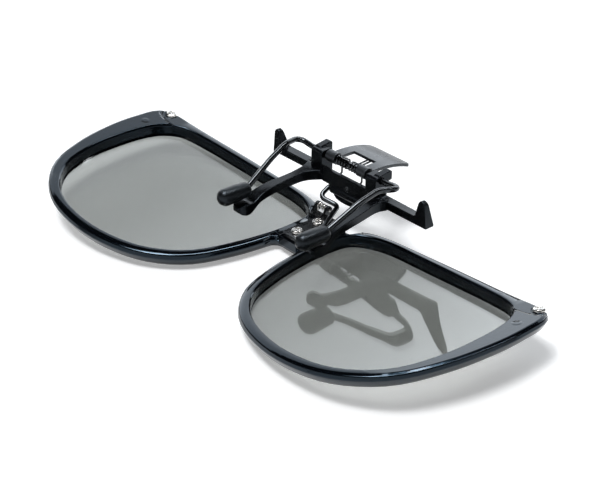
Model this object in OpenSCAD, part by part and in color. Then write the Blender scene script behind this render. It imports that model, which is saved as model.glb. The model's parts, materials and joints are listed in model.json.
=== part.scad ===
// Flip-up clip-on stereoscopic glasses: a wrapped frame with two grey polarising lenses, hung from a
// sprung clip that pinches the lenses of ordinary glasses. Lengths are in millimetres.
// The glasses lie on their front: X runs across the face, +Y points to the brow and +Z to the wearer.
// Working heights are measured from the rear face of the rims at the bridge, and Y from the line of
// the corner screws. seat() then puts the origin in the middle of the base.

/* [Lens openings] */
// Width of one lens opening, from the nose side to the temple side
opening_w = 57.2; // [50:0.5:62]
// Height of one lens opening, from its lowest point to the top of the brow
opening_h = 49.5; // [42:0.5:54]
// Gap between the two openings at the bridge
opening_gap = 13; // [12:0.5:18]
// Radius of the wrap of the frame and lenses round the face
wrap_r = 338; // [250:2:600]

/* [Rims and brow bars] */
// Depth of the rims from rear face to front face
rim_depth = 4; // [3.9:0.1:5]
// Width of the rims at the bottom of the lenses
rim_bottom_w = 3; // [2.6:0.1:4]
// Width of the rims beside the nose
rim_nose_w = 2.3; // [2:0.1:3]
// Width of the rims at the temple corners
rim_temple_w = 6.3; // [5.5:0.1:7]
// Width of the brow bars at mid length
brow_w = 2.8; // [2.4:0.1:4]
// Radius of the soft inner edge of the rims
edge_round = 0.5; // [0.2:0.05:0.8]
// Thickness of the end of a brow bar where it laps over the temple corner
lug_t = 2; // [1.6:0.1:2.1]
// Radius of the rounded end of that lap
lug_r = 2.5; // [2.2:0.1:3]

/* [Lenses] */
// Thickness of a lens
lens_t = 0.7; // [0.6:0.05:0.8]
// Depth of the lens behind the rear face of the rims
lens_back = 2.75; // [2.5:0.05:2.8]
// Depth of the lens groove in the rims
groove_d = 0.7; // [0.5:0.05:0.9]
// Clearance round the lens in its groove
lens_gap = 0.05; // [0.03:0.01:0.1]

// Drop of the brow bar's temple end below the frame round it
end_drop = 0.45; // [0.2:0.05:0.45]

/* [Bridge] */
// Height of the arch over the nose below the screw line
arch_y = 14.2; // [13.6:0.1:15.5]
// Height of the raised seat of the bridge plate
boss_h = 0.5; // [0.4:0.1:1]
// Width of the bridge plate
plate_w = 5.4; // [5:0.1:6]
// Length of the bridge plate
plate_l = 13.2; // [11:0.1:13.6]
// Thickness of the bridge plate
plate_t = 1; // [0.8:0.1:1.4]
// Distance between the two bridge screws
screw_pitch = 6.6; // [5:0.1:8]
// Radius of the heads of the small screws
head_r = 1.45; // [1.2:0.05:1.6]
// Radius of the shanks of the small screws
shank_r = 0.55; // [0.4:0.05:0.6]

/* [Flip hinge] */
// Diameter of the black hinge wire
hinge_wire_d = 1.3; // [1:0.05:1.5]
// Distance between the outer legs of the hinge wire
hinge_span = 12.6; // [12.2:0.2:14]
// Radial running clearance of the hinge wire in its barrel
hinge_clear = 0.05; // [0.02:0.01:0.1]
// Radius of the barrel that the hinge wire turns in
barrel_r = 1.55; // [1.3:0.05:1.7]
// Diameter of the wire of the bright flip spring
flip_wire_d = 0.4; // [0.3:0.05:0.45]
// Turns of the flip spring
flip_turns = 3; // [2:1:4]

/* [Clip body] */
// Distance between the outer ends of the crossbar
crossbar_l = 54; // [48:0.5:60]
// Front to back thickness of the crossbar
crossbar_t = 3; // [2.4:0.1:3.4]
// Height of the crossbar
crossbar_h = 2.2; // [1.8:0.1:2.6]
// Height of the brow pegs above the crossbar
peg_h = 4.7; // [3:0.1:7]
// Distance between the inner faces of the two plastic arms
arm_gap = 22.2; // [20:0.2:24]
// Reach of the plastic arms below the screw line
arm_reach = 19.6; // [18:0.2:24]
// Thickness of the web between the arms
web_t = 1.2; // [0.9:0.1:1.5]
// Distance between the inner faces of the two posts
post_gap = 15.4; // [15:0.1:16]
// Width of one post
post_w = 3.7; // [3:0.1:4.2]

/* [Jaw] */
// Diameter of the wire yoke that is both axle and jaw arms
yoke_d = 1.5; // [1.2:0.05:1.7]
// Radial running clearance of the axle in the posts
axle_clear = 0.05; // [0.02:0.01:0.1]
// Width of the thumb lever
lever_w = 13.8; // [12:0.1:14.4]
// Thickness of the lever plate
lever_t = 0.8; // [0.6:0.05:1]
// Reach of the lever past the axle
lever_reach = 14.3; // [10:0.1:17]
// Radius of the lever's crown
lever_crown_r = 30; // [20:1:60]
// Width of the slot in the lever over the springs
notch_w = 7.6; // [7:0.1:8.4]
// Diameter of a rubber tip
tip_d = 4.3; // [3.8:0.1:4.4]
// Length of a rubber tip
tip_l = 9.3; // [8:0.1:11]
// Gap between a rubber tip and the foot below it when the jaw is shut
tip_gap = 0.3; // [0.2:0.05:0.5]

/* [Torsion springs] */
// Diameter of the torsion spring wire
spring_d = 0.5; // [0.4:0.05:0.5]
// Radius of the coils at the middle of the wire
spring_r = 1.15; // [1.1:0.05:1.3]
// Free gap between neighbouring turns
turn_gap = 0.42; // [0.41:0.01:0.45]
// Turns of the left torsion spring
turns_left = 3; // [2:1:3]
// Turns of the right torsion spring
turns_right = 2; // [1:1:2]

/* [Hidden] */

gloss_black = [0.03, 0.03, 0.04];
satin_black = [0.08, 0.08, 0.09];
rubber_black = [0.06, 0.06, 0.06];
lever_grey = [0.30, 0.31, 0.33];
bright_metal = [0.80, 0.79, 0.74];
lens_grey = [0.55, 0.57, 0.55, 0.6];

// Curved surfaces of large radius need many segments, small round parts need few.
wrap_fn = 400;
round_fn = 48;
eps = 0.01;
// Length of the shapes that cut right through
past = 40;

// Lens opening of the right eye, anticlockwise from the top of the nose side. Each row is the share
// of opening_w from the nose side, the share of opening_h below the screw line, and the rim's width
// there as a share of the width named in its last column: 0 nose, 1 bottom, 2 temple, 3 brow.
opening_rows = [
    [0.012, -0.040, 1.13, 0], [0.000, -0.182, 0.96, 0], [0.009, -0.323, 1.00, 0],
    [0.038, -0.505, 1.13, 0], [0.100, -0.701, 0.93, 1], [0.229, -0.844, 0.97, 1],
    [0.411, -0.921, 1.00, 1], [0.603, -0.939, 1.00, 1], [0.776, -0.897, 1.00, 1],
    [0.918, -0.764, 1.16, 1], [0.983, -0.556, 0.70, 2], [0.998, -0.343, 0.90, 2],
    [0.988, -0.182, 1.05, 2], [0.958, -0.087, 1.22, 2], [0.897, -0.022, 1.36, 3],
    [0.760, 0.014, 1.04, 3], [0.621, 0.034, 1.00, 3], [0.481, 0.048, 0.96, 3],
    [0.341, 0.057, 0.86, 3], [0.227, 0.061, 0.79, 3], [0.140, 0.051, 0.86, 3],
    [0.066, 0.020, 1.07, 3]];
rows = len(opening_rows);
steps = 4;
bar_from_row = 12;
bar_to_row = 22;
rim_from_row = -2;
rim_to_row = 14.8;
corner_row = 13.3;
corner_share = 0.795;
rim_widths = [rim_nose_w, rim_bottom_w, rim_temple_w, brow_w];

function half_gap() = opening_gap / 2;
function wrap(x) = wrap_r - sqrt(wrap_r * wrap_r - x * x);
function tilt(x) = asin(x / wrap_r);
function row_xy(i) = let(r = opening_rows[(i + rows) % rows])
    [half_gap() + r[0] * opening_w, r[1] * opening_h];
function row_w(i) = let(r = opening_rows[(i + rows) % rows]) r[2] * rim_widths[r[3]];

// Smooth curve through four neighbours, at share t between the middle two.
function smooth(a, b, c, d, t) =
    0.5 * (2 * b + (c - a) * t + (2 * a - 5 * b + 4 * c - d) * t * t
    + (3 * b - a - 3 * c + d) * t * t * t);
function smooth_slope(a, b, c, d, t) =
    0.5 * ((c - a) + 2 * (2 * a - 5 * b + 4 * c - d) * t + 3 * (3 * b - a - 3 * c + d) * t * t);
function edge_xy(u) = let(i = floor(u), t = u - i)
    smooth(row_xy(i - 1), row_xy(i), row_xy(i + 1), row_xy(i + 2), t);
function edge_w(u) = let(i = floor(u), t = u - i)
    smooth(row_w(i - 1), row_w(i), row_w(i + 1), row_w(i + 2), t);
function unit(v) = v / norm(v);
function edge_out(u) = let(i = floor(u), t = u - i,
    s = unit(smooth_slope(row_xy(i - 1), row_xy(i), row_xy(i + 1), row_xy(i + 2), t)))
    [s[1], -s[0]];

// Corner b between a and c rounded to a radius, in n steps, and a whole line with such corners
function bend(a, b, c, r, n) = let(
    u = unit(a - b),
    v = unit(c - b),
    half = acos(u * v) / 2,
    mid = b + unit(u + v) * r / sin(half),
    p = b + u * r / tan(half) - mid,
    q = b + v * r / tan(half) - mid,
    turn = 180 - 2 * half)
    [for (k = [0:n]) mid + (sin(turn * (1 - k / n)) * p + sin(turn * k / n) * q) / sin(turn)];
function bent_line(p, r, n) = concat([p[0]],
    [for (i = [1:len(p) - 2]) each bend(p[i - 1], p[i], p[i + 1], r[i - 1], n)], [p[len(p) - 1]]);
// Closed line through a list of points, smoothed, with n steps between neighbours.
function smooth_loop(p, n) = let(e = len(p))
    [for (i = [0:e - 1], k = [0:n - 1])
        smooth(p[(i - 1 + e) % e], p[i], p[(i + 1) % e], p[(i + 2) % e], k / n)];

lens_front = lens_back + lens_t;
base_y = 0.939 * opening_h;

// Screws at the temple corners
corner_at = edge_xy(corner_row) + corner_share * edge_w(corner_row) * edge_out(corner_row);
corner_x = corner_at[0];
corner_y = corner_at[1];
seam_y = corner_y - 2.8;
temple_lap_x = half_gap() + 0.907 * opening_w;
screw_recess = 0.5;
corner_screw_l = 0.58 * rim_depth;
shank_gap = 0.05;

// Free end of a brow bar beside the bridge, and the lap under it
bar_foot_y = -0.9;
bar_foot_x = half_gap() + 0.5;
bar_end_x = half_gap() + 2.4;
bar_end_y = 0.069 * opening_h;
nose_lap_x = half_gap() + 5.9;

// Bridge: the plate's upper edge, the two screws, and the spring pin in front of it
boss_top = -0.9;
boss_margin = 0.5;
plate_over = 0.6;
screw_mid_y = -8.1;
pin_r = 0.4;
pin_y = 0.1;
pin_z = boss_h + plate_t + 1.3;
pin_ear_r = 0.95;
pin_ear_t = 0.7;
pin_reach = 5.4;
pin_inner = 1.65;
pin_clear = 0.04;

// Flip hinge: the barrel's axis, and the points that the hinge wire runs through
hinge_r = hinge_wire_d / 2;
hinge_y = 4.9;
hinge_z = 6.1;
hinge_leg_x = hinge_span / 2;
hinge_bend = hinge_r + 0.35;
barrel_half = hinge_leg_x - hinge_bend - 0.1;
long_end = [plate_w / 2 + boss_margin + hinge_r + 0.15, -7.4, boss_h + plate_t + hinge_r];
short_end = [4.7, boss_top - 1.05, hinge_z - 3.5];
hole_floor = -rim_depth + 1.2;
long_leg = [
    [-barrel_half + 1.5, hinge_y, hinge_z], [-hinge_leg_x, hinge_y, hinge_z],
    [-hinge_leg_x, hinge_y - 3.6, hinge_z - 1.9], [-1.4, hinge_y - 1.8, hinge_z - 3.2],
    long_end, [long_end[0], long_end[1], hole_floor + 0.2]];
short_leg = [
    [barrel_half - 1.5, hinge_y, hinge_z], [hinge_leg_x, hinge_y, hinge_z],
    [hinge_leg_x, hinge_y - 3.6, hinge_z - 1.9], short_end,
    [short_end[0], short_end[1], hole_floor + 0.2]];
long_bends = [hinge_bend, 1.3, 1.3, 1.1];
short_bends = [hinge_bend, 1.3, 0.9];

// Clip body
bar_y = 4;
bar_z = 7.8;
bar_top = bar_z + crossbar_h;
peg_top = bar_top + peg_h;
peg_w = 2.2;
peg_root_w = 3.6;
axle_y = 4.9;
axle_z = 14.2;
yoke_r = yoke_d / 2;
post_in = post_gap / 2;
post_out = post_in + post_w;
post_front = 3;
post_back = 6.9;
post_top = axle_z + 1.05;
cheek_w = 1.9;
web_y = 3.7;
web_top = bar_top + 0.8;
web_bottom = 6.9;
flap_half = 4.3;
flap_drop = 2.4;
arm_in = arm_gap / 2;

// Jaw: the wire's route from the axle to the inside of a rubber tip
tip_r = tip_d / 2;
foot_top = 6.25;
tip_x = arm_in + 3;
tip_z = foot_top + tip_gap + tip_r;
tip_mid_y = -arm_reach + 0.3;
tip_far_y = tip_mid_y - tip_l / 2;
tip_near_y = tip_mid_y + tip_l / 2;
yoke_line = [
    [post_out - 1.5, axle_y, axle_z], [post_out + 1.8, axle_y, axle_z],
    [post_out + 6.7, axle_y, axle_z + 0.6], [post_out + 4.9, axle_y - 6, axle_z + 1.4],
    [post_out + 4, axle_y - 11.4, axle_z - 0.6], [tip_x, tip_near_y - 1, tip_z],
    [tip_x, tip_far_y + 3, tip_z]];
yoke_bends = [4, 1.9, 5, 14, 3.5];

// Lever: a crowned plate whose two ears are rolled round the axle
lever_half = lever_w / 2;
crown_y = axle_y + 2.6;
crown_z = axle_z + 0.52;
notch_end = 5.5;
knuckle_r = 1.5;
knuckle_gap = 0.02;
lever_corner_r = 1.2;

// Torsion springs
spring_pitch = spring_d + turn_gap;
left_x = -3.5;
right_x = 3.5;
spring_reach = 11.6;
spring_hook_z = 10.1;
ring_steps = 8;
tube_sides = 6;

// Middle of the base, so that the origin is the centre of the footprint on the ground
base_low = -(base_y + rim_bottom_w);
base_high = axle_y + lever_reach;
module seat() {
    translate([0, -(base_low + base_high) / 2, rim_depth]) children();
}

module both_sides() {
    children();
    mirror([1, 0, 0]) children();
}

// Solid between two wrapped surfaces, at heights low and high over the rims' rear face
module shell(low, high) {
    module drum(h) {
        translate([0, 0, wrap_r + h]) rotate([90, 0, 0])
            cylinder(r = wrap_r, h = 160, center = true, $fn = wrap_fn);
    }
    difference() {
        drum(low);
        drum(high);
    }
}

// Closed solid through a row of sections, each a list of the same number of 3D points. The caps are
// cut into the triangles that are given, or into a fan round the first point.
module loft(sections, cap = []) {
    n = len(sections[0]);
    m = len(sections);
    triangles = len(cap) > 0 ? cap : [for (i = [1:n - 2]) [0, i, i + 1]];
    sides = [for (i = [0:m - 2], j = [0:n - 1]) let(a = i * n + j, b = i * n + (j + 1) % n)
        each [[a, b + n, b], [a, a + n, b + n]]];
    finish = [for (t = triangles) [t[0], t[2], t[1]] + [1, 1, 1] * (m - 1) * n];
    polyhedron(points = [for (s = sections) each s], faces = concat(triangles, sides, finish),
        convexity = 8);
}

// Round tube along a list of points; up is a direction that the tube never runs along
module tube(path, r, sides, up) {
    e = len(path) - 1;
    legs = [for (i = [0:e - 1]) unit(path[i + 1] - path[i])];
    loft([for (i = [0:e]) let(
        t = unit(legs[max(i - 1, 0)] + legs[min(i, e - 1)]),
        a = unit(cross(up, t)),
        b = cross(t, a))
        [for (k = [0:sides - 1]) path[i] + r * (cos(360 * k / sides) * a
            + sin(360 * k / sides) * b)]]);
}

// Section of a rim or bar, as distance out from the opening and height over the rear face
function rim_section(w) = let(
    turn = min(1.1, 0.37 * w),
    groove_top = -lens_back + lens_gap,
    groove_low = -lens_front - lens_gap)
    [[0, -edge_round], [edge_round * 0.9, 0], [w - turn, 0], [w - 0.3 * turn, -0.42 * turn],
    [w, -0.33 * rim_depth], [w - 0.5 * turn, -0.66 * rim_depth],
    [w - 1.2 * turn, -0.87 * rim_depth], [max(w - 2 * turn, edge_round + 0.05), -rim_depth],
    [edge_round, -rim_depth],
    [0, -rim_depth + 0.2], [0, groove_low], [groove_d, groove_low], [groove_d, groove_top],
    [0, groove_top]];
// The same section in triangles, round its groove
rim_cap = [[13, 0, 1], [13, 1, 2], [13, 2, 3], [13, 3, 4], [13, 4, 12], [4, 5, 11], [4, 11, 12],
    [11, 5, 6], [11, 6, 7], [11, 7, 8], [11, 8, 9], [11, 9, 10]];

module rim_sweep(from, to) {
    count = ceil((to - from) * steps);
    loft([for (k = [0:count]) let(
        u = from + (to - from) * k / count,
        p = edge_xy(u),
        o = edge_out(u))
        [for (q = rim_section(edge_w(u))) let(x = p[0] + o[0] * q[0], y = p[1] + o[1] * q[0])
            [x, y, wrap(x) + q[1]]]], rim_cap);
}

// Outline of a lens opening, grown by a distance
module opening_2d(grow) {
    polygon([for (k = [0:rows * steps - 1]) let(u = k / steps) edge_xy(u) + grow * edge_out(u)]);
}

// Space of a brow bar: its full depth between the laps, and the lap at each end, grown by a
// clearance for the pockets in the front frame
module bar_zone(grow) {
    lap_low = -lug_t - grow;
    translate([nose_lap_x - grow, -14, -10])
        cube([temple_lap_x - nose_lap_x + 2 * grow, past, past]);
    intersection() {
        union() {
            linear_extrude(past, center = true) {
                translate([temple_lap_x - 1, seam_y - grow])
                    square([corner_x - 0.5 - temple_lap_x + 1 + grow, 12]);
                translate([corner_x, corner_y]) circle(r = lug_r + grow, $fn = round_fn);
                translate([temple_lap_x - 1, corner_y]) square([corner_x - temple_lap_x + 1, 12]);
            }
            linear_extrude(past, center = true) polygon([
                [bar_foot_x - grow, bar_foot_y - grow], [bar_end_x - grow, bar_end_y],
                [bar_end_x - grow, 12], [nose_lap_x + 1, 12], [nose_lap_x + 1, bar_foot_y - grow]]);
        }
        shell(lap_low, 12);
    }
}

// Space beyond the free end of a brow bar, on the side of the bridge
module beyond_bar() {
    translate([0, 0, -10]) linear_extrude(past) polygon([
        [-20, bar_foot_y], [bar_foot_x, bar_foot_y], [bar_end_x, bar_end_y], [bar_end_x, 12],
        [-20, 12]]);
}

module at_corner_screw() {
    translate([corner_x, corner_y, wrap(corner_x)]) rotate([0, -tilt(corner_x), 0]) children();
}

module corner_hole() {
    at_corner_screw() translate([0, 0, -screw_recess - corner_screw_l - 0.2])
        cylinder(r = shank_r + shank_gap, h = rim_depth + 2, $fn = 24);
}

// Bridge behind the arch over the nose, up to its straight brow edge
module bridge_2d() {
    side_x = half_gap() - 0.6;
    translate([-side_x, -arch_y + 1]) square([2 * side_x, arch_y - 1 + boss_top]);
}

// Rounded lower edge of the bridge: the flat arch over the nose, whose tight corners run out
// inside the rims. It is swept from left to right, from its edge toward the bridge.
arch_r = 2.4;
arch_at = edge_xy(2) + edge_w(2) * edge_out(2);
arch_mid = arch_at[0] - arch_r + 0.06;
arch_low = -arch_y - arch_r;
arch_half = concat(
    [for (x = [0, 0.5 * arch_mid]) [[x, -arch_y], [0, -1]]],
    [for (k = [0:8]) let(a = 90 * k / 8)
        [[arch_mid + arch_r * sin(a), arch_low + arch_r * cos(a)], [-sin(a), -cos(a)]]],
    [[[arch_mid + arch_r + 0.35, arch_low - 2], [-1, 0]]]);
function mirrored(row) = [for (i = [len(row) - 1:-1:1]) [for (v = row[i]) [-v[0], v[1]]]];
function arch_section(w) = let(turn = 0.85)
    [[0, -0.05], [w - turn, -0.05], [w - 0.3 * turn, -0.42 * turn], [w, -0.33 * rim_depth],
    [w - 0.5 * turn, -0.66 * rim_depth], [w - 1.3 * turn, -rim_depth + 0.55],
    [0, -rim_depth + 0.55]];
module arch_edge() {
    side_x = half_gap() - 0.62;
    intersection() {
        loft([for (row = concat(mirrored(arch_half), arch_half)) let(p = row[0], o = row[1])
            [for (q = arch_section(1.8)) let(x = p[0] + o[0] * (q[0] - 1.8),
                y = p[1] + o[1] * (q[0] - 1.8)) [x, y, wrap(x) + q[1]]]]);
        translate([-side_x, arch_low - 4, -10]) cube([2 * side_x, past, past]);
    }
}

module plate_screw_places() {
    for (s = [-1, 1]) translate([0, screw_mid_y + s * screw_pitch / 2, 0]) children();
}

module front_frame() {
    color(gloss_black) seat() difference() {
        union() {
            both_sides() difference() {
                rim_sweep(rim_from_row, rim_to_row);
                bar_zone(lens_gap);
                beyond_bar();
            }
            intersection() {
                translate([0, 0, -rim_depth]) linear_extrude(rim_depth + 1) bridge_2d();
                shell(-rim_depth + 0.5, 0);
            }
            arch_edge();
            translate([-plate_w / 2 - boss_margin, boss_top - plate_l - boss_margin, -2])
                cube([plate_w + 2 * boss_margin, plate_l + boss_margin, boss_h + 2]);
            translate([-pin_reach - pin_ear_t / 2, boss_top - 1.9, -2])
                cube([2 * pin_reach + pin_ear_t, 1.9, boss_h + 2]);
        }
        both_sides() corner_hole();
        wire_end_holes();
        plate_screw_places() translate([0, 0, -rim_depth + 1])
            cylinder(r = shank_r + shank_gap, h = rim_depth + 2, $fn = 24);
    }
}

// Space over the temple end of a brow bar, which sinks a little below the frame round it
module sunk_end() {
    from_x = temple_lap_x - 5;
    to_x = corner_x + lug_r;
    rise = wrap(to_x) - end_drop - wrap(from_x);
    translate([from_x, -past / 2, wrap(from_x)])
        rotate([0, -atan2(rise, to_x - from_x), 0])
            cube([past, past, 6]);
}

module brow_bar() {
    color(gloss_black) seat() difference() {
        intersection() {
            rim_sweep(bar_from_row, bar_to_row);
            bar_zone(0);
        }
        beyond_bar();
        sunk_end();
        corner_hole();
        at_corner_screw() translate([0, 0, -screw_recess])
            cylinder(r = head_r + 0.25, h = 4, $fn = round_fn);
    }
}

module brow_bar_right() { brow_bar(); }
module brow_bar_left() { mirror([1, 0, 0]) brow_bar(); }

module lens() {
    color(lens_grey) seat() intersection() {
        translate([0, 0, -10]) linear_extrude(past) opening_2d(groove_d - 0.15);
        shell(-lens_front, -lens_back);
    }
}

module lens_right() { lens(); }
module lens_left() { mirror([1, 0, 0]) lens(); }

// Small pan head screw with its head standing on z = 0
module small_screw(length) {
    head_h = 0.62 * head_r;
    rotate_extrude($fn = round_fn) polygon([[0, -length], [shank_r * 0.6, -length],
        [shank_r, -length + 0.4], [shank_r, 0], [head_r, 0], [head_r, 0.35 * head_h],
        [0.86 * head_r, 0.75 * head_h], [0.55 * head_r, 0.95 * head_h], [0, head_h]]);
}

module cross_slot() {
    for (a = [0, 90]) rotate(a) translate([0, 0, 0.62 * head_r])
        cube([1.3 * head_r, 0.26 * head_r, 0.5 * head_r], center = true);
}

module corner_screw() {
    color(bright_metal) seat() at_corner_screw() translate([0, 0, -screw_recess]) difference() {
        small_screw(corner_screw_l);
        rotate(35) cross_slot();
    }
}

module corner_screw_right() { corner_screw(); }
module corner_screw_left() { mirror([1, 0, 0]) corner_screw(); }

module bridge_screw(side, turn) {
    color(bright_metal) seat()
        translate([0, screw_mid_y + side * screw_pitch / 2, boss_h + plate_t]) difference() {
            small_screw(rim_depth + boss_h + plate_t - 1.3);
            rotate(turn) cross_slot();
        }
}

module bridge_screw_upper() { bridge_screw(1, 20); }
module bridge_screw_lower() { bridge_screw(-1, 65); }

// Holes that the ends of the hinge wire are pressed into
module wire_end_holes() {
    for (e = [long_end, short_end]) translate([e[0], e[1], hole_floor])
        cylinder(r = hinge_r + lens_gap, h = 10, $fn = 24);
}

// Plate on the bridge, with two ears that carry the spring pin
module bridge_plate() {
    module ear() {
        rotate([90, 0, 90]) linear_extrude(pin_ear_t, center = true) union() {
            translate([pin_y, pin_z]) circle(r = pin_ear_r, $fn = round_fn);
            polygon([[boss_top - 1.9, boss_h], [boss_top + plate_over, boss_h],
                [pin_y + pin_ear_r, pin_z - 0.1], [pin_y - pin_ear_r * 0.7, pin_z + pin_ear_r * 0.7]]);
        }
    }
    color(satin_black) seat() difference() {
        union() {
            translate([-plate_w / 2, boss_top - plate_l, boss_h])
                cube([plate_w, plate_l + plate_over, plate_t]);
            translate([-pin_reach - pin_ear_t / 2, boss_top - 1.9, boss_h])
                cube([2 * pin_reach + pin_ear_t, 1.9 + plate_over, plate_t]);
            for (x = [-pin_reach, -pin_inner]) translate([x, 0, 0]) ear();
        }
        wire_end_holes();
        translate([0, pin_y, pin_z]) rotate([0, 90, 0])
            cylinder(r = pin_r + pin_clear, h = past, center = true, $fn = 32);
        plate_screw_places() cylinder(r = shank_r + shank_gap, h = 5, $fn = 24);
        for (s = [-1, 1]) translate([s * plate_w / 2, boss_top - plate_l, boss_h - 1])
            rotate(45) cube([1, 1, 6], center = true);
    }
}

module spring_pin() {
    color(bright_metal) seat() translate([-pin_reach - pin_ear_t / 2 - 0.2, pin_y, pin_z])
        rotate([0, 90, 0]) cylinder(r = pin_r, h = pin_reach - pin_inner + pin_ear_t + 0.4, $fn = 32);
}

module hinge_wire() {
    color(satin_black) seat() union() {
        translate([-barrel_half, hinge_y, hinge_z]) rotate([0, 90, 0])
            cylinder(r = hinge_r, h = 2 * barrel_half, $fn = 32);
        tube(bent_line(long_leg, long_bends, 5), hinge_r - eps, 10, [-0.5, 0.5, -0.7]);
        tube(bent_line(short_leg, short_bends, 5), hinge_r - eps, 10, [0.5, 0.5, -0.7]);
    }
}

// Helix about an axis along X. It starts at the angle start, measured from +Y towards +Z.
function coil(y, z, x0, pitch, r, turns, start, dir) =
    [for (k = [0:turns * ring_steps]) let(a = start + dir * 360 * k / ring_steps)
        [x0 + pitch * k / ring_steps, y + r * cos(a), z + r * sin(a)]];

function least_gap(p, d, skip) = min([for (i = [0:len(p) - 1]) for (j = [i + skip:1:len(p) - 1])
    norm(p[i] - p[j])]) - d;

// Bright spring round its pin: one leg bears on the bridge boss and the other on the hinge wire
flip_r = pin_r + 0.12 + flip_wire_d / 2;
flip_pitch = flip_wire_d + turn_gap;
flip_x0 = -pin_reach + pin_ear_t / 2 + 0.3;
flip_x1 = flip_x0 + flip_turns * flip_pitch;
flip_path = concat(
    [[flip_x0, pin_y - flip_r, boss_h + plate_t + 0.02],
    [flip_x0, pin_y - flip_r, boss_h + plate_t + 0.02 + flip_wire_d]],
    coil(pin_y, pin_z, flip_x0, flip_pitch, flip_r, flip_turns, 180, -1),
    [[flip_x1, pin_y - flip_r, pin_z - 0.45],
    [flip_x1, pin_y - flip_r, boss_h + plate_t + 0.02]]);
echo(flip_spring_gap = least_gap(flip_path, flip_wire_d, ring_steps - 2));

module flip_spring() {
    color(bright_metal) seat() tube(flip_path, flip_wire_d / 2, tube_sides, [1, 0, 0]);
}

// Side outline of a plastic arm with its foot, as Y and height
arm_side = [
    [bar_y + 1, bar_top + 0.1], [1.5, bar_top - 0.1], [-2, bar_top - 0.7], [-6, bar_top - 1.1],
    [-9.8, bar_top - 1.5], [tip_near_y + 2.3, bar_top - 2.1], [tip_near_y + 0.6, foot_top + 0.8],
    [tip_near_y - 0.8, foot_top], [-arm_reach + 2.8, foot_top],
    [-arm_reach + 1.3, foot_top - 0.15], [-arm_reach + 0.3, foot_top - 0.7],
    [-arm_reach, foot_top - 1.6], [-arm_reach + 0.8, foot_top - 2.5],
    [-arm_reach + 2, foot_top - 2.9], [-arm_reach + 3.3, foot_top - 2.7],
    [-arm_reach + 4.7, foot_top - 1.7], [-arm_reach + 6.3, foot_top - 0.6], [-9.8, bar_z - 1.4],
    [-6, bar_z - 1.1], [-2, bar_z - 0.9], [2, bar_z - 0.5], [bar_y + 1, bar_z - 0.1]];
// Outline of a plastic arm seen from the wearer
arm_plan = [
    [post_in - 0.4, bar_y + 1.2], [post_in + 0.7, 2.9], [post_in + 2.3, 1], [arm_in - 0.2, -1.2],
    [arm_in, -5], [arm_in, -12], [arm_in, -arm_reach + 3], [arm_in + 0.3, -arm_reach + 1.1],
    [arm_in + 1.3, -arm_reach + 0.1], [arm_in + 2.3, -arm_reach], [arm_in + 3.3, -arm_reach + 0.3],
    [arm_in + 3.9, -arm_reach + 1.4], [arm_in + 4, -arm_reach + 3.4], [arm_in + 3.2, -11.5],
    [arm_in + 2.5, -5], [arm_in + 2, 0.4], [arm_in + 2.2, 2.8], [arm_in + 2.7, bar_y + 1.2]];

module arm() {
    intersection() {
        rotate([90, 0, 90]) linear_extrude(30) polygon(smooth_loop(arm_side, 3));
        linear_extrude(30) polygon(smooth_loop(arm_plan, 3));
    }
}

// One half of the crossbar, with its tapered peg at the end
module crossbar() {
    end_x = crossbar_l / 2;
    peg_in = end_x - peg_root_w;
    soft = 0.3;
    intersection() {
        rotate([90, 0, 0]) translate([0, 0, -20]) linear_extrude(20) polygon([
            [arm_in - 1, bar_z], [end_x, bar_z], [end_x - 0.5, peg_top - 1],
            [end_x - 0.9, peg_top - 0.3], [end_x - 0.5 - peg_w / 2, peg_top],
            [end_x - 0.1 - peg_w, peg_top - 0.3], [end_x - 0.5 - peg_w, peg_top - 1],
            [peg_in, bar_top + soft], [peg_in - soft, bar_top], [arm_in - 1, bar_top]]);
        rotate([90, 0, 90]) linear_extrude(end_x + 1) polygon([
            [bar_y + soft, bar_z], [bar_y + crossbar_t - soft, bar_z],
            [bar_y + crossbar_t, bar_z + soft], [bar_y + 0.4 * crossbar_t, peg_top],
            [bar_y, peg_top], [bar_y, bar_z + soft]]);
    }
}

// Post with the axle's bore, and the cheek that reaches back over it
module post() {
    soft = 0.5;
    cheek_top = post_top + 0.8;
    translate([post_in, 0, 0]) rotate([90, 0, 90]) linear_extrude(post_w) polygon([
        [post_front, bar_z + 1.4], [post_front, post_top - soft], [post_front + soft, post_top],
        [post_back - soft, post_top], [post_back, post_top - soft], [post_back, bar_z + 0.4]]);
    translate([post_out - cheek_w, 0, 0]) rotate([90, 0, 90]) linear_extrude(cheek_w) polygon([
        [post_front + 0.9, post_top - 0.4], [post_front + 1.3, post_top + 0.3],
        [post_back + 1, cheek_top], [post_back + 1.5, cheek_top - 0.4],
        [post_back + 1.5, post_top - 1.7], [post_back - 1, post_top - 2.2]]);
    fillet_r = 2.4;
    translate([post_out - eps, bar_y + 0.6 * crossbar_t, bar_top - 0.4]) rotate([90, 0, 0])
        linear_extrude(0.6 * crossbar_t) difference() {
            square([fillet_r, fillet_r + 0.4]);
            translate([fillet_r, fillet_r + 0.4]) circle(r = fillet_r, $fn = round_fn);
        }
}

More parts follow.
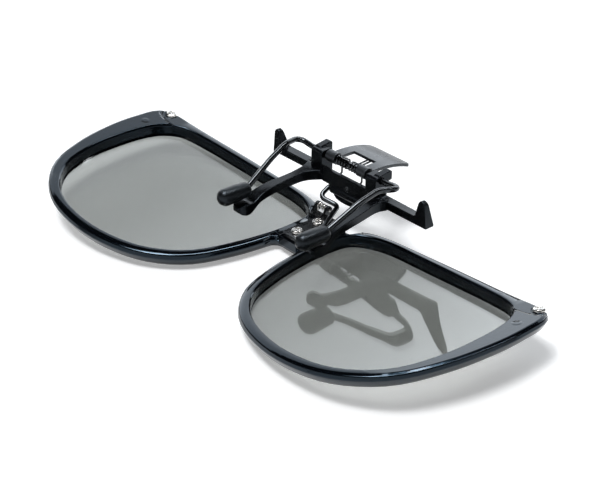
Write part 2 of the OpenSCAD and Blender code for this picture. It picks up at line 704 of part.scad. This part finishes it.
// Web between the posts, with the barrel of the flip hinge and the rounded stop flap below it
module web() {
    edge = post_in + 0.3;
    rotate([90, 0, 0]) translate([0, 0, -web_y - web_t]) linear_extrude(web_t) polygon([
        [-edge, web_top], [-edge, web_bottom + 0.4], [-barrel_half + 0.6, web_bottom + 0.2],
        [-barrel_half + 1, web_bottom - 0.5], [barrel_half - 1, web_bottom - 0.5],
        [barrel_half - 0.6, web_bottom + 0.2], [edge, web_bottom + 0.4], [edge, web_top]]);
    intersection() {
        rotate([90, 0, 0]) translate([0, 0, -web_y - web_t]) linear_extrude(web_t)
            polygon(smooth_loop([[-flap_half, hinge_z + 0.8], [-flap_half, hinge_z],
                [-0.8 * flap_half, hinge_z - 0.62 * flap_drop],
                [-0.5 * flap_half, hinge_z - 0.93 * flap_drop], [0, hinge_z - flap_drop],
                [0.5 * flap_half, hinge_z - 0.93 * flap_drop],
                [0.8 * flap_half, hinge_z - 0.62 * flap_drop], [flap_half, hinge_z],
                [flap_half, hinge_z + 0.8]], 3));
        translate([0, 0, hinge_z + 0.8 - 10]) cube([past, past, 20], center = true);
    }
}

module clip_body() {
    color(satin_black) seat() difference() {
        union() {
            both_sides() {
                arm();
                crossbar();
                post();
            }
            web();
            translate([-barrel_half, hinge_y, hinge_z]) rotate([0, 90, 0])
                cylinder(r = barrel_r, h = 2 * barrel_half, $fn = round_fn);
        }
        translate([0, hinge_y, hinge_z]) rotate([0, 90, 0])
            cylinder(r = hinge_r + hinge_clear, h = past, center = true, $fn = 32);
        translate([0, axle_y, axle_z]) rotate([0, 90, 0])
            cylinder(r = yoke_r + axle_clear, h = past, center = true, $fn = 32);
        translate([0.9, web_y - 1, web_bottom + 1.25]) rotate([-90, 0, 0])
            cylinder(r = 0.45 + eps, h = web_t + 2, $fn = 24);
    }
}

// Small rivet through the web
module web_rivet() {
    color(bright_metal) seat() translate([0.9, web_y, web_bottom + 1.25]) rotate([90, 0, 0])
        rotate_extrude($fn = 32) polygon([[0, -web_t], [0.45, -web_t], [0.45, 0], [0.8, 0],
            [0.75, 0.25], [0.4, 0.5], [0, 0.55]]);
}

module lever() {
    color(lever_grey) seat() difference() {
        union() {
            intersection() {
                translate([-lever_half, crown_y, crown_z - lever_crown_r]) rotate([0, 90, 0])
                    difference() {
                        cylinder(r = lever_crown_r, h = lever_w, $fn = wrap_fn);
                        translate([0, 0, -1])
                            cylinder(r = lever_crown_r - lever_t, h = lever_w + 2, $fn = wrap_fn);
                    }
                linear_extrude(past) union() {
                    translate([-lever_half, axle_y + 0.9])
                        square([lever_w, lever_reach - 0.9 - lever_corner_r]);
                    translate([-lever_half + lever_corner_r, axle_y + 0.9])
                        square([lever_w - 2 * lever_corner_r, lever_reach - 0.9]);
                    for (s = [-1, 1])
                        translate([s * (lever_half - lever_corner_r), base_high - lever_corner_r])
                            circle(r = lever_corner_r, $fn = round_fn);
                }
            }
            translate([-lever_half, axle_y, axle_z]) rotate([0, 90, 0])
                cylinder(r = knuckle_r, h = lever_w, $fn = round_fn);
        }
        translate([-notch_w / 2, axle_y - 5, axle_z - 5]) cube([notch_w, notch_end + 5, 10]);
        translate([0, axle_y, axle_z]) rotate([0, 90, 0])
            cylinder(r = yoke_r + knuckle_gap, h = past, center = true, $fn = 32);
    }
}

module yoke_arm(grow) {
    tube(bent_line(yoke_line, yoke_bends, 6), yoke_r - eps + grow, 10, [0, 0, 1]);
}

module wire_yoke() {
    color(satin_black) seat() union() {
        translate([0, axle_y, axle_z]) rotate([0, 90, 0])
            cylinder(r = yoke_r, h = 2 * (post_out + 0.6), center = true, $fn = 32);
        both_sides() yoke_arm(0);
    }
}

// Rubber sleeve on the end of a wire arm, a capsule with a slight waist
module rubber_tip() {
    waist = tip_r - 0.2;
    color(rubber_black) seat() difference() {
        translate([tip_x, tip_far_y, tip_z]) rotate([-90, 0, 0])
            rotate_extrude($fn = round_fn) intersection() {
                union() {
                    translate([0, tip_r]) circle(r = tip_r, $fn = round_fn);
                    polygon([[0, tip_r], [tip_r, tip_r], [tip_r, 0.55 * tip_l], [waist, 0.75 * tip_l],
                        [waist, tip_l - 1.1], [waist - 0.35, tip_l - 0.35], [waist - 1, tip_l],
                        [0, tip_l]]);
                }
                square([tip_r + 1, tip_l + 1]);
            }
        yoke_arm(0.04);
    }
}

module rubber_tip_right() { rubber_tip(); }
module rubber_tip_left() { mirror([1, 0, 0]) rubber_tip(); }

// Torsion spring: a hooked leg against the back of the web, the coils round the axle, and a leg
// under the lever. The coils grow from x0 towards the middle of the clip.
function torsion_path(x0, dir, turns) = let(
    back = web_y + web_t,
    leg_y = axle_y + spring_r,
    x1 = x0 + dir * (turns + 0.75) * spring_pitch,
    under = crown_z - lever_crown_r + sqrt(pow(lever_crown_r - lever_t, 2)
        - pow(spring_reach - crown_y, 2)) - spring_d / 2 - 0.06)
    concat(
    bent_line([[x0, back + 0.02, spring_hook_z], [x0, leg_y, spring_hook_z],
        [x0, leg_y, axle_z - 0.6]], [0.5], 3),
    [for (k = [0:(turns + 0.75) * ring_steps]) let(a = 360 * k / ring_steps)
        [x0 + dir * spring_pitch * k / ring_steps, axle_y + spring_r * cos(a),
        axle_z + spring_r * sin(a)]],
    [[x1, axle_y + 1.4, axle_z - spring_r], [x1, spring_reach, under]]);

torsion_left = torsion_path(left_x, 1, turns_left);
torsion_right = torsion_path(right_x, -1, turns_right);
echo(torsion_gap_left = least_gap(torsion_left, spring_d, ring_steps - 2));
echo(torsion_gap_right = least_gap(torsion_right, spring_d, ring_steps - 2));

module torsion_spring_left() {
    color(satin_black) seat() tube(torsion_left, spring_d / 2, tube_sides, [1, 0, 0]);
}

module torsion_spring_right() {
    color(satin_black) seat() tube(torsion_right, spring_d / 2, tube_sides, [1, 0, 0]);
}

front_frame();
brow_bar_left();
brow_bar_right();
lens_left();
lens_right();
corner_screw_left();
corner_screw_right();
bridge_plate();
bridge_screw_upper();
bridge_screw_lower();
hinge_wire();
spring_pin();
flip_spring();
clip_body();
web_rivet();
lever();
wire_yoke();
rubber_tip_left();
rubber_tip_right();
torsion_spring_left();
torsion_spring_right();
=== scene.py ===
"""Flip-up clip-on stereoscopic glasses, lying on their front on a white table.

Every visible piece carries its CAD shape: it is a copy of its node's mesh, joined smoothly, with its
hard edges rounded and its own procedural material. Lengths are in metres, and angles in degrees
except the camera's.
"""

import json
import math

import bmesh
import bpy
from mathutils import Matrix, Vector
from mathutils.bvhtree import BVHTree

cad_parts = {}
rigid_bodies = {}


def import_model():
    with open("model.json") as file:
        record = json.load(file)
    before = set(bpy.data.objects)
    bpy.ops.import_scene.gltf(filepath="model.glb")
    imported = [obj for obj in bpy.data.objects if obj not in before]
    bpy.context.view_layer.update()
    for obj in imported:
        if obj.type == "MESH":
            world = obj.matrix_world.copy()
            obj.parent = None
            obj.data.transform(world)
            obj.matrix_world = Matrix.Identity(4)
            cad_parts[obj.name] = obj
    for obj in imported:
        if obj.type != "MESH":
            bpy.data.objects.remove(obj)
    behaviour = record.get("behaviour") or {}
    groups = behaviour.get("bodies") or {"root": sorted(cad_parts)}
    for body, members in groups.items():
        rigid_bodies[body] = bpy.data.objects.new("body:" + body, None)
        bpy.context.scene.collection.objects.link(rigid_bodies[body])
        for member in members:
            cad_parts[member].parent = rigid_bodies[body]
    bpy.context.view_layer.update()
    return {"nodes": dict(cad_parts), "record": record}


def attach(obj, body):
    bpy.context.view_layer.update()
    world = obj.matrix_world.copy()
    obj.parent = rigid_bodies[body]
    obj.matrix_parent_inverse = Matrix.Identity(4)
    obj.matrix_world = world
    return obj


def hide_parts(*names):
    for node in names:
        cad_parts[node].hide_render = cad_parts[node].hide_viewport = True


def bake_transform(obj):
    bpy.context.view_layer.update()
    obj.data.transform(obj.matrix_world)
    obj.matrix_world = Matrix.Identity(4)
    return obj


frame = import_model()
NODES = frame["nodes"]
RECORD = frame["record"]
BODY_OF = {node: body for body, nodes in RECORD["behaviour"]["bodies"].items() for node in nodes}
MM = 0.001
ROUND_WEIGHT = "bevel_weight_edge"  # the attribute that Blender's bevel reads


# Camera


def make_camera():
    """Camera found from symmetric pairs of points on the frame and the clip."""
    turn, drop, roll = 0.8444, 0.5224, 0.0114  # radians
    place = Vector((227.8, -197.7, 175.6)) * MM
    focal_px, frame_px, sensor = 1461.1, 600.0, 36.0
    right = Vector((math.cos(turn), math.sin(turn), 0))
    ahead = Vector((-math.sin(turn) * math.cos(drop), math.cos(turn) * math.cos(drop), -math.sin(drop)))
    up = right.cross(ahead)
    right, up = (math.cos(roll) * right + math.sin(roll) * up,
                 math.cos(roll) * up - math.sin(roll) * right)
    data = bpy.data.cameras.new("camera")
    data.sensor_width = sensor
    data.sensor_fit = "HORIZONTAL"
    data.lens = focal_px / frame_px * sensor
    data.clip_start = 0.01
    camera = bpy.data.objects.new("camera", data)
    camera.matrix_world = Matrix((
        (right.x, up.x, -ahead.x, place.x),
        (right.y, up.y, -ahead.y, place.y),
        (right.z, up.z, -ahead.z, place.z),
        (0, 0, 0, 1)))
    bpy.context.scene.collection.objects.link(camera)
    bpy.context.scene.camera = camera


# Shader building blocks


def new_material(name):
    material = bpy.data.materials.new(name)
    material.use_nodes = True
    tree = material.node_tree
    return material, tree, tree.nodes["Principled BSDF"]


def split_xyz(tree, vector):
    """The X, Y and Z sockets of a vector."""
    node = tree.nodes.new("ShaderNodeSeparateXYZ")
    tree.links.new(vector, node.inputs[0])
    return node.outputs


def object_place(tree):
    """The shaded point in the part's own frame, as X, Y and Z sockets."""
    return split_xyz(tree, tree.nodes.new("ShaderNodeTexCoord").outputs["Object"])


def noise(tree, scale, detail):
    """Noise in object space, so that the grain has a real size in metres."""
    coords = tree.nodes.new("ShaderNodeTexCoord")
    node = tree.nodes.new("ShaderNodeTexNoise")
    node.inputs["Scale"].default_value = scale
    node.inputs["Detail"].default_value = detail
    tree.links.new(coords.outputs["Object"], node.inputs["Vector"])
    return node.outputs["Fac"]


def span(tree, value, low, high, to_low, to_high):
    """Maps a value from one span to another, clamped."""
    node = tree.nodes.new("ShaderNodeMapRange")
    node.inputs["From Min"].default_value = low
    node.inputs["From Max"].default_value = high
    node.inputs["To Min"].default_value = to_low
    node.inputs["To Max"].default_value = to_high
    tree.links.new(value, node.inputs["Value"])
    return node.outputs["Result"]


def patches(tree, scale, detail, low=0.3, high=0.7, values=(0.0, 1.0)):
    """Soft patches that run between two values, cut out of noise between low and high."""
    return span(tree, noise(tree, scale, detail), low, high, *values)


def math_node(tree, operation, a, b=None):
    """One sum on one or two values, each a socket or a number."""
    node = tree.nodes.new("ShaderNodeMath")
    node.operation = operation
    for socket, value in zip(node.inputs, (a, b)):
        if isinstance(value, (int, float)):
            socket.default_value = value
        elif value is not None:
            tree.links.new(value, socket)
    return node.outputs[0]


def bump(tree, shader, height, distance, strength):
    """Adds a relief to the shader's normal, on top of one that is there already."""
    node = tree.nodes.new("ShaderNodeBump")
    node.inputs["Distance"].default_value = distance
    node.inputs["Strength"].default_value = strength
    tree.links.new(height, node.inputs["Height"])
    for link in shader.inputs["Normal"].links:
        tree.links.new(link.from_socket, node.inputs["Normal"])
    tree.links.new(node.outputs["Normal"], shader.inputs["Normal"])


def blend_colours(tree, factor, a, b):
    node = tree.nodes.new("ShaderNodeMix")
    node.data_type = "RGBA"
    factor_in, a_in, b_in, colour_out = 0, 6, 7, 2  # the colour sockets share their names with others
    node.inputs[a_in].default_value = (*a, 1)
    node.inputs[b_in].default_value = (*b, 1)
    tree.links.new(factor, node.inputs[factor_in])
    return node.outputs[colour_out]


def edge_wear(tree, sharp=0.56, spread=0.06):
    """Share of wear from 0 to 1: on convex edges, broken up by noise."""
    geometry = tree.nodes.new("ShaderNodeNewGeometry")
    edge = span(tree, geometry.outputs["Pointiness"], sharp, sharp + spread, 0, 1)
    return math_node(tree, "MULTIPLY", edge, patches(tree, scale=900, detail=4, low=0.45))


# Materials


def moulded(name, colour, worn, roughness, grain, grain_depth, specular, tint, coat=0.0):
    """Moulded plastic: fine surface grain, roughness in soft patches, slightly paler edges."""
    material, tree, shader = new_material(name)
    tree.links.new(blend_colours(tree, edge_wear(tree), colour, worn), shader.inputs["Base Color"])
    tree.links.new(patches(tree, scale=260, detail=3, values=roughness), shader.inputs["Roughness"])
    shader.inputs["IOR"].default_value = 1.5
    shader.inputs["Specular IOR Level"].default_value = specular
    shader.inputs["Specular Tint"].default_value = (*tint, 1)
    shader.inputs["Coat Weight"].default_value = coat
    shader.inputs["Coat Roughness"].default_value = 0.03
    bump(tree, shader, noise(tree, grain, detail=2), grain_depth, strength=0.5)
    return material


def seam_marks(material):
    """The parting line round each brow bar's temple end, and the small round mould mark beside it, as
    a shallow relief. Places are on the right; the left one mirrors it."""
    seam_y = 12.25 * MM
    screw_x, screw_y, lug_r = 65.4 * MM, 15.14 * MM, 2.5 * MM
    bar_end_x = screw_x - 0.5 * MM
    groove_offset, groove_half_width, groove_depth = 0.18 * MM, 0.3 * MM, 0.2 * MM
    temple_x = 60 * MM
    mark_x, mark_y, mark_r = 65.6 * MM, 7.2 * MM, 0.9 * MM
    mark_slope, mark_height = 0.3 * MM, 0.09 * MM
    tree = material.node_tree
    shader = tree.nodes["Principled BSDF"]
    place = object_place(tree)
    x = math_node(tree, "ABSOLUTE", place["X"])
    y = place["Y"]

    def radius(centre_x, centre_y):
        across = math_node(tree, "POWER", math_node(tree, "SUBTRACT", x, centre_x), 2.0)
        along = math_node(tree, "POWER", math_node(tree, "SUBTRACT", y, centre_y), 2.0)
        return math_node(tree, "SQRT", math_node(tree, "ADD", across, along))

    beyond_bar = math_node(tree, "MAXIMUM", math_node(tree, "SUBTRACT", seam_y, y),
                           math_node(tree, "SUBTRACT", x, bar_end_x))
    beyond_lug = math_node(tree, "SUBTRACT", radius(screw_x, screw_y), lug_r)
    away = math_node(tree, "MINIMUM", beyond_bar, beyond_lug)
    off = math_node(tree, "ABSOLUTE", math_node(tree, "SUBTRACT", away, groove_offset))
    groove = math_node(tree, "MULTIPLY", span(tree, off, 0.0, groove_half_width, -1.0, 0.0),
                       math_node(tree, "GREATER_THAN", x, temple_x))
    bump(tree, shader, groove, groove_depth, strength=1.0)
    mark = span(tree, radius(mark_x, mark_y), mark_r - mark_slope, mark_r + mark_slope, 1.0, 0.0)
    bump(tree, shader, mark, mark_height, strength=1.0)


def coated_metal(name, colour, worn, roughness, grain, grain_depth, coat=0.2):
    """Black-coated wire or sheet: a thin satin coat with brighter rubbed edges."""
    material, tree, shader = new_material(name)
    wear = edge_wear(tree, sharp=0.58, spread=0.08)
    tree.links.new(blend_colours(tree, wear, colour, worn), shader.inputs["Base Color"])
    tree.links.new(patches(tree, scale=500, detail=3, values=roughness), shader.inputs["Roughness"])
    shader.inputs["IOR"].default_value = 1.55
    shader.inputs["Specular Tint"].default_value = (0.82, 0.91, 1.0, 1)
    shader.inputs["Coat Weight"].default_value = coat
    shader.inputs["Coat Roughness"].default_value = 0.18
    bump(tree, shader, noise(tree, grain, detail=3), grain_depth, strength=0.6)
    return material


def plated(name):
    """Bright plated steel with a faint grain and tarnish in patches."""
    material, tree, shader = new_material(name)
    bright, tarnished = (0.80, 0.79, 0.77), (0.55, 0.54, 0.52)
    tarnish = patches(tree, scale=700, detail=3, low=0.35)
    tree.links.new(blend_colours(tree, tarnish, bright, tarnished), shader.inputs["Base Color"])
    shader.inputs["Metallic"].default_value = 1.0
    tree.links.new(patches(tree, scale=1500, detail=2, values=(0.14, 0.3)), shader.inputs["Roughness"])
    bump(tree, shader, noise(tree, 4000, detail=2), 0.02 * MM, strength=0.4)
    return material


def rubber(name):
    """Soft black rubber, dull in patches."""
    material, tree, shader = new_material(name)
    black, faded = (0.0015, 0.0017, 0.002), (0.005, 0.0055, 0.0065)
    fading = patches(tree, scale=350, detail=4, low=0.4, high=0.75)
    tree.links.new(blend_colours(tree, fading, black, faded), shader.inputs["Base Color"])
    tree.links.new(patches(tree, scale=800, detail=3, values=(0.28, 0.4)), shader.inputs["Roughness"])
    shader.inputs["Specular IOR Level"].default_value = 0.34
    shader.inputs["Specular Tint"].default_value = (0.74, 0.87, 1.0, 1)
    bump(tree, shader, noise(tree, 1800, detail=3), 0.08 * MM, strength=0.5)
    return material


def polariser(name):
    """Grey polarising sheet: tinted, with a smooth glossy skin that is bowed a little more than its
    frame. The bow is in the shading normal: slopes per metre across and along each lens, from the
    middle of its own bow."""
    bow_x, middle_x = 2.96, 0.0392
    bow_y, middle_y = -0.517, 0.0233
    material, tree, shader = new_material(name)
    tints = (0.288, 0.300, 0.288), (0.302, 0.314, 0.302)
    tint = blend_colours(tree, patches(tree, scale=40, detail=2), *tints)
    tree.links.new(tint, shader.inputs["Base Color"])
    shader.inputs["Transmission Weight"].default_value = 1.0
    shader.inputs["IOR"].default_value = 1.58
    shader.inputs["Roughness"].default_value = 0.0
    place = object_place(tree)
    normal = tree.nodes.new("ShaderNodeNewGeometry").outputs["Normal"]
    side = math_node(tree, "SIGN", split_xyz(tree, normal)["Z"])
    out_x = math_node(tree, "SUBTRACT", math_node(tree, "ABSOLUTE", place["X"]), middle_x)
    out_y = math_node(tree, "SUBTRACT", place["Y"], middle_y)
    slope_x = math_node(tree, "MULTIPLY", math_node(tree, "MULTIPLY", out_x, bow_x),
                        math_node(tree, "SIGN", place["X"]))
    slope_y = math_node(tree, "MULTIPLY", out_y, bow_y)
    lean = tree.nodes.new("ShaderNodeCombineXYZ")
    for axis, slope in (("X", slope_x), ("Y", slope_y)):
        outward = math_node(tree, "MULTIPLY", slope, side)
        tree.links.new(math_node(tree, "MULTIPLY", outward, -1.0), lean.inputs[axis])
    total = tree.nodes.new("ShaderNodeVectorMath")
    total.operation = "ADD"
    tree.links.new(normal, total.inputs[0])
    tree.links.new(lean.outputs[0], total.inputs[1])
    unit = tree.nodes.new("ShaderNodeVectorMath")
    unit.operation = "NORMALIZE"
    tree.links.new(total.outputs[0], unit.inputs[0])
    tree.links.new(unit.outputs[0], shader.inputs["Normal"])
    return material


# Pieces


def strays(piece, surface, reach):
    """The points of a softened piece that lie further than reach from the CAD surface, and how far."""
    bpy.context.view_layer.update()
    shape = piece.evaluated_get(bpy.context.evaluated_depsgraph_get())
    found = []
    for point in shape.to_mesh().vertices:
        gap = surface.find_nearest(point.co)[3]
        if gap > reach:
            found.append((point.co.copy(), gap))
    shape.to_mesh_clear()
    return found


def soften(piece, node, edge, segments):
    """Rounds the sharp edges of a piece. Where the round would leave the CAD surface, in a corner full
    of short edges, the edges nearby stay sharp."""
    passes = 12
    stray_share = 0.6  # of the edge's width: a true round stays well within it
    spread = 1.3  # how far round a stray the edges go back to sharp, as a share of its gap
    mesh = piece.data
    weight = mesh.attributes.new(ROUND_WEIGHT, "FLOAT", "EDGE")
    for line in mesh.edges:
        weight.data[line.index].value = 1.0 if line.use_edge_sharp else 0.0
    rounding = piece.modifiers.new("soft_edges", "BEVEL")
    rounding.width = edge
    rounding.segments = segments
    rounding.limit_method = "WEIGHT"
    rounding.use_clamp_overlap = False
    rounding.loop_slide = False
    rounding.harden_normals = True
    build = bmesh.new()
    build.from_mesh(NODES[node].data)
    surface = BVHTree.FromBMesh(build)
    build.free()
    for _ in range(passes):
        found = strays(piece, surface, stray_share * edge)
        if not found:
            break
        for line in mesh.edges:
            start, end = (mesh.vertices[i].co for i in line.vertices)
            near = any((spot - place).length < spread * gap + edge for place, gap in found
                       for spot in (start, (start + end) / 2, end))
            if line.use_edge_sharp and near:
                mesh.attributes[ROUND_WEIGHT].data[line.index].value = 0.0
        mesh.update()


def dressed(node, material, edge=0.0, segments=2, angle=32, turning=None):
    """A copy of a CAD node in its own material. Facets that meet at less than angle are joined
    smoothly, and the other edges get a round as wide as edge. A piece given turning joins no body:
    its place is baked into its mesh and it stays where it stands. The two places along X in turning are
    not used."""
    weld = 0.004 * MM
    mesh = NODES[node].data.copy()
    mesh.name = node + "_skin"
    build = bmesh.new()
    build.from_mesh(mesh)
    bmesh.ops.remove_doubles(build, verts=build.verts, dist=weld)
    bmesh.ops.dissolve_degenerate(build, edges=build.edges, dist=weld)
    for face in build.faces:
        face.smooth = True
    for line in build.edges:
        line.smooth = len(line.link_faces) == 2 and line.calc_face_angle(0) < math.radians(angle)
    build.to_mesh(mesh)
    build.free()
    mesh.materials.clear()
    mesh.materials.append(material)
    piece = bpy.data.objects.new(node + "_skin", mesh)
    bpy.context.scene.collection.objects.link(piece)
    if edge:
        soften(piece, node, edge, segments)
    if turning:
        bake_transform(piece)
    else:
        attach(piece, BODY_OF[node])
    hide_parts(node)


def dress_all():
    gloss = moulded("gloss_black", (0.0008, 0.0011, 0.0019), (0.006, 0.007, 0.009),
                    roughness=(0.06, 0.11), grain=900, grain_depth=0.02 * MM,
                    specular=0.32, tint=(0.4, 0.7, 1.0), coat=0.25)
    satin = moulded("satin_black", (0.002, 0.0022, 0.003), (0.014, 0.015, 0.017),
                    roughness=(0.16, 0.26), grain=3200, grain_depth=0.03 * MM,
                    specular=0.24, tint=(0.72, 0.86, 1.0))
    wire = coated_metal("black_wire", (0.0015, 0.0016, 0.002), (0.01, 0.01, 0.011),
                        roughness=(0.1, 0.16), grain=1200, grain_depth=0.01 * MM)
    plate = coated_metal("black_plate", (0.003, 0.003, 0.0035), (0.02, 0.02, 0.02),
                         roughness=(0.16, 0.26), grain=1200, grain_depth=0.01 * MM)
    lever = coated_metal("grey_lever", (0.012, 0.013, 0.015), (0.07, 0.07, 0.075),
                         roughness=(0.26, 0.34), grain=1800, grain_depth=0.02 * MM, coat=0.1)
    bright = plated("bright_metal")
    tip = rubber("black_rubber")
    lens = polariser("polarising_lens")
    seam_marks(gloss)
    swept = 55  # swept and turned pieces have few sides, which meet at up to this angle
    for node in ("front_frame", "brow_bar_left", "brow_bar_right"):
        dressed(node, gloss, 0.2 * MM, 3)
    for node in ("lens_left", "lens_right"):
        dressed(node, lens)
    dressed("clip_body", satin, 0.22 * MM, 3)
    dressed("lever", lever, 0.12 * MM)
    dressed("bridge_plate", plate, 0.1 * MM)
    for node in ("wire_yoke", "hinge_wire"):
        dressed(node, wire, angle=swept)
    dressed("torsion_spring_left", wire, angle=swept, turning=(-3.3 * MM, -0.24 * MM))
    dressed("torsion_spring_right", wire, angle=swept, turning=(3.3 * MM, 1.15 * MM))
    dressed("web_rivet", plate, angle=swept)
    for node in ("flip_spring", "spring_pin"):
        dressed(node, bright, angle=swept)
    for node in ("corner_screw_left", "corner_screw_right", "bridge_screw_upper", "bridge_screw_lower"):
        dressed(node, bright, 0.05 * MM)
    for node in ("rubber_tip_left", "rubber_tip_right"):
        dressed(node, tip, angle=50)


# Surroundings


def make_table():
    """A matt white table, just under the object. Camera, gloss and lenses see it a little lifted
    towards white, and the object's shadow stays on it."""
    half_side, drop, lift_strength = 6.0, 0.02 * MM, 0.34
    corners = [(-half_side, -half_side, 0), (half_side, -half_side, 0),
               (half_side, half_side, 0), (-half_side, half_side, 0)]
    mesh = bpy.data.meshes.new("table")
    mesh.from_pydata(corners, [], [(0, 1, 2, 3)])
    table = bpy.data.objects.new("table", mesh)
    bpy.context.scene.collection.objects.link(table)
    table.location.z = -drop
    material = bpy.data.materials.new("table")
    material.use_nodes = True
    tree = material.node_tree
    tree.nodes.clear()
    matt = tree.nodes.new("ShaderNodeBsdfDiffuse")
    matt.inputs["Color"].default_value = (0.92, 0.93, 0.94, 1)
    lift = tree.nodes.new("ShaderNodeEmission")
    lift.inputs["Color"].default_value = (1, 1, 1, 1)
    path = tree.nodes.new("ShaderNodeLightPath").outputs
    seen = math_node(tree, "MAXIMUM", path["Is Camera Ray"], path["Is Glossy Ray"])
    seen = math_node(tree, "MAXIMUM", seen, path["Is Transmission Ray"])
    tree.links.new(math_node(tree, "MULTIPLY", seen, lift_strength), lift.inputs["Strength"])
    total = tree.nodes.new("ShaderNodeAddShader")
    tree.links.new(matt.outputs[0], total.inputs[0])
    tree.links.new(lift.outputs[0], total.inputs[1])
    out = tree.nodes.new("ShaderNodeOutputMaterial")
    tree.links.new(total.outputs[0], out.inputs["Surface"])
    mesh.materials.append(material)


def make_world():
    """White where the camera or a lens looks straight at it, and for gloss low down in front, where the
    white table goes up against a wall; otherwise a dim room, a little brighter low down."""
    front_x, front_y = 0.743, -0.669  # level direction from the object to the camera
    room_low, room_high, room_top = 0.07, 0.03, 0.6
    wall_full, wall_end, wall_side = 0.28, 0.48, 0.4
    world = bpy.data.worlds.new("studio")
    world.use_nodes = True
    bpy.context.scene.world = world
    tree = world.node_tree
    shader = tree.nodes["Background"]
    way = split_xyz(tree, tree.nodes.new("ShaderNodeTexCoord").outputs["Generated"])
    room = span(tree, way["Z"], 0.0, room_top, room_low, room_high)
    front = math_node(tree, "ADD", math_node(tree, "MULTIPLY", way["X"], front_x),
                      math_node(tree, "MULTIPLY", way["Y"], front_y))
    wall = math_node(tree, "MULTIPLY", span(tree, way["Z"], wall_full, wall_end, 1.0, 0.0),
                     span(tree, front, 0.0, wall_side, 0.0, 1.0))
    path = tree.nodes.new("ShaderNodeLightPath").outputs
    wall = math_node(tree, "MULTIPLY", path["Is Glossy Ray"], wall)
    seen = math_node(tree, "MAXIMUM", path["Is Camera Ray"], path["Is Transmission Ray"])
    seen = math_node(tree, "MAXIMUM", seen, wall)
    shader.inputs["Color"].default_value = (1, 1, 1, 1)
    tree.links.new(math_node(tree, "MAXIMUM", room, seen), shader.inputs["Strength"])


def add_lamp(name, azimuth, height, distance, size, radiance, colour=(1, 1, 1)):
    """Soft box of a given radiance, turned to the object; azimuth is from +X and height from level."""
    data = bpy.data.lights.new(name, "AREA")
    data.shape = "RECTANGLE"
    data.size, data.size_y = size
    data.energy = radiance * math.pi * size[0] * size[1]
    data.color = colour
    lamp = bpy.data.objects.new(name, data)
    turn, lift = math.radians(azimuth), math.radians(height)
    away = Vector((math.cos(turn) * math.cos(lift), math.sin(turn) * math.cos(lift), math.sin(lift)))
    lamp.location = away * distance
    lamp.rotation_euler = away.to_track_quat("Z", "Y").to_euler()
    lamp.visible_camera = False
    bpy.context.scene.collection.objects.link(lamp)
    return lamp


def fade_upward(lamp, low, high):
    """Lets a soft box fade over the lower three quarters of its height, from low to high, as shares
    of its radiance."""
    faded_by = 0.75
    lamp.data.use_nodes = True
    tree = lamp.data.node_tree
    across = split_xyz(tree, tree.nodes.new("ShaderNodeNewGeometry").outputs["Parametric"])
    share = span(tree, across["Y"], 0.0, faded_by, low, high)
    tree.links.new(share, tree.nodes["Emission"].inputs["Strength"])


def make_lights():
    """A wide, cool soft box behind the object, which the lenses and the top faces mirror. Two lamps
    high on the left, one soft and one small, which throw the shadow. And a long strip overhead that
    only gloss sees, which draws the light lines along the edges; the lenses leave it out, because
    they would mirror it as a bar."""
    behind = add_lamp("soft_box_behind", azimuth=134, height=28, distance=3.6, size=(7.2, 2.9),
                      radiance=1.0, colour=(0.9, 0.95, 1.0))
    fade_upward(behind, 2.5, 1.3)
    add_lamp("soft_box_above", azimuth=250, height=74, distance=3.0, size=(1.2, 1.2), radiance=11.6)
    add_lamp("lamp_above", azimuth=250, height=72, distance=2.9, size=(0.5, 0.3), radiance=26.0)
    strip = add_lamp("strip_above", azimuth=80, height=80, distance=3.0, size=(0.24, 3.6),
                     radiance=24.0)
    strip_turn = Matrix.Rotation(math.radians(-10), 3, "Z")
    facing = strip.location.to_track_quat("Z", "Y").to_matrix()
    strip.rotation_euler = (strip_turn @ facing).to_euler()
    strip.visible_diffuse = False
    strip.visible_transmission = False
    lit = bpy.data.collections.new("lit_by_strip")
    for piece in bpy.data.objects:
        if piece.name.endswith("_skin") and "lens" not in piece.name:
            lit.objects.link(piece)
    strip.light_linking.receiver_collection = lit


make_camera()
dress_all()
make_table()
make_world()
make_lights()
bpy.context.scene.view_settings.view_transform = "Standard"
